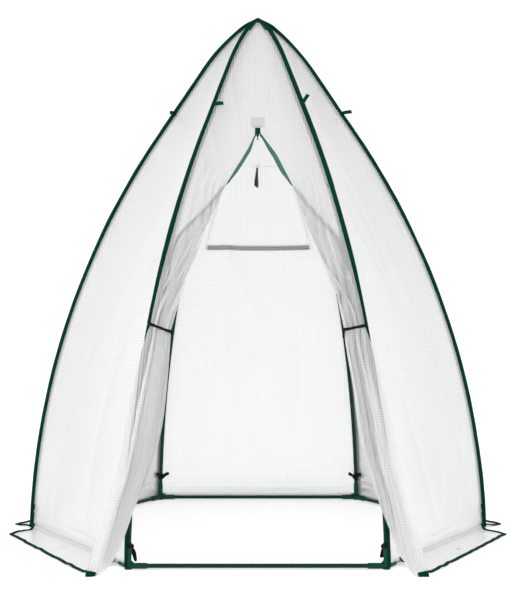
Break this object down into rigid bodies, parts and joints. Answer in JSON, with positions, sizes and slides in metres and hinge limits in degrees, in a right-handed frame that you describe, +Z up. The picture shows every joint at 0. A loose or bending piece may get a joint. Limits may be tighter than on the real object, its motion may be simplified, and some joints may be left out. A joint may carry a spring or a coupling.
{
  "type": "walk-in greenhouse",
  "caption": "Walk-in hexagonal greenhouse with bowed tube ribs, a translucent reinforced film cover, tied-back zipped door halves, a rear vent flap and ground skirts.",
  "frame": {"origin": "on the ground at the centre of the hexagon", "axes": "+Z up, -Y out of the doorway, +X to the right of someone who looks at the doorway from outside"},
  "size_m": [2.0888, 1.9334, 2.1495],
  "materials": {
    "tube": "satin dark-green powder coat",
    "connector": "moulded dark-green polypropylene with a fine grain",
    "ferrule": "bright drawn steel",
    "film": "translucent polyethylene film with a white thread grid inside",
    "binding": "woven dark-green edge tape",
    "eyelet": "rolled and pressed",
    "tie": "woven near-black ribbon",
    "zip_tape": "knitted mid-green tape with coil teeth",
    "patch": "translucent reinforced film, a second layer",
    "zip_metal": "glossy dark-green enamel on zinc",
    "hook": "black hook-and-loop and webbing",
    "webbing": "woven dark-green webbing"
  },
  "bodies": {
    "frame_and_cover": {"corner_connector_front_left": "connector", "rib_lower_front_left": "tube", "rib_upper_front_left": "tube", "corner_connector_front_right": "connector", "rib_lower_front_right": "tube", "rib_upper_front_right": "tube", "corner_connector_right": "connector", "rib_lower_right": "tube", "rib_upper_right": "tube", "corner_connector_rear_right": "connector", "rib_lower_rear_right": "tube", "rib_upper_rear_right": "tube", "corner_connector_rear_left": "connector", "rib_lower_rear_left": "tube", "rib_upper_rear_left": "tube", "corner_connector_left": "connector", "rib_lower_left": "tube", "rib_upper_left": "tube", "base_tube_front": "tube", "base_tube_front_right": "tube", "base_tube_rear_right": "tube", "base_tube_rear": "tube", "base_tube_rear_left": "tube", "base_tube_front_left": "tube", "apex_hub": "connector", "rib_ferrules": "ferrule", "wall_front_right": "film", "wall_rear_right": "film", "wall_rear": "film", "wall_rear_left": "film", "wall_front_left": "film", "front_top_panel": "film", "apex_cap": "binding", "seam_bindings": "binding", "skirt_front_right": "film", "skirt_rear_right": "film", "skirt_rear": "film", "skirt_rear_left": "film", "skirt_front_left": "film", "skirt_bindings": "binding", "skirt_eyelets": "eyelet", "door_upper_left": "film", "strap_inner_left": "tie", "zip_tape_left": "zip_tape", "door_upper_right": "film", "strap_inner_right": "tie", "zip_tape_right": "zip_tape", "zip_head_patch": "patch", "window_hook_strip": "hook", "guy_loops": "webbing", "foot_ribbons": "tie"},
    "zip_slider_body": {"zip_slider": "zip_metal"},
    "zip_pull_body": {"zip_pull": "zip_metal"},
    "door_tail_left_body": {"door_tail_left": "film"},
    "door_tail_right_body": {"door_tail_right": "film"},
    "tie_back_left_body": {"strap_outer_left": "tie"},
    "tie_back_right_body": {"strap_outer_right": "tie"},
    "window_flap_body": {"window_flap": "film"},
    "window_tie_body": {"window_roll_tie": "hook"}
  },
  "joints": [
    {"name": "zip_slider_travel", "type": "hinge", "parent": "frame_and_cover", "child": "zip_slider_body", "pos_m": [0, 2.63063, -0.07815], "axis": [1, 0, 0], "range_deg": [0, 27.53]},
    {"name": "zip_pull_swing", "type": "hinge", "parent": "zip_slider_body", "child": "zip_pull_body", "pos_m": [0, -0.38058, 1.63039], "axis": [-1, 0, 0], "range_deg": [0, 100]},
    {"name": "door_tail_left_swing", "type": "hinge", "parent": "frame_and_cover", "child": "door_tail_left_body", "pos_m": [-0.342, -0.6976, 0.861], "axis": [0, 0, 1], "range_deg": [0, 60]},
    {"name": "door_tail_right_swing", "type": "hinge", "parent": "frame_and_cover", "child": "door_tail_right_body", "pos_m": [0.342, -0.6976, 0.861], "axis": [0, 0, -1], "range_deg": [0, 60]},
    {"name": "tie_back_left_open", "type": "hinge", "parent": "frame_and_cover", "child": "tie_back_left_body", "pos_m": [-0.3871, -0.6976, 0.873], "axis": [0, 0, -1], "range_deg": [0, 90]},
    {"name": "tie_back_right_open", "type": "hinge", "parent": "frame_and_cover", "child": "tie_back_right_body", "pos_m": [0.3871, -0.6976, 0.873], "axis": [0, 0, 1], "range_deg": [0, 90]},
    {"name": "window_flap_lift", "type": "hinge", "parent": "frame_and_cover", "child": "window_flap_body", "pos_m": [0, 0.41243, 1.567], "axis": [1, 0, 0], "range_deg": [0, 150]},
    {"name": "window_tie_swing", "type": "hinge", "parent": "frame_and_cover", "child": "window_tie_body", "pos_m": [0, 0.40384, 1.571], "axis": [1, 0, 0], "range_deg": [-60, 25]}
  ]
}
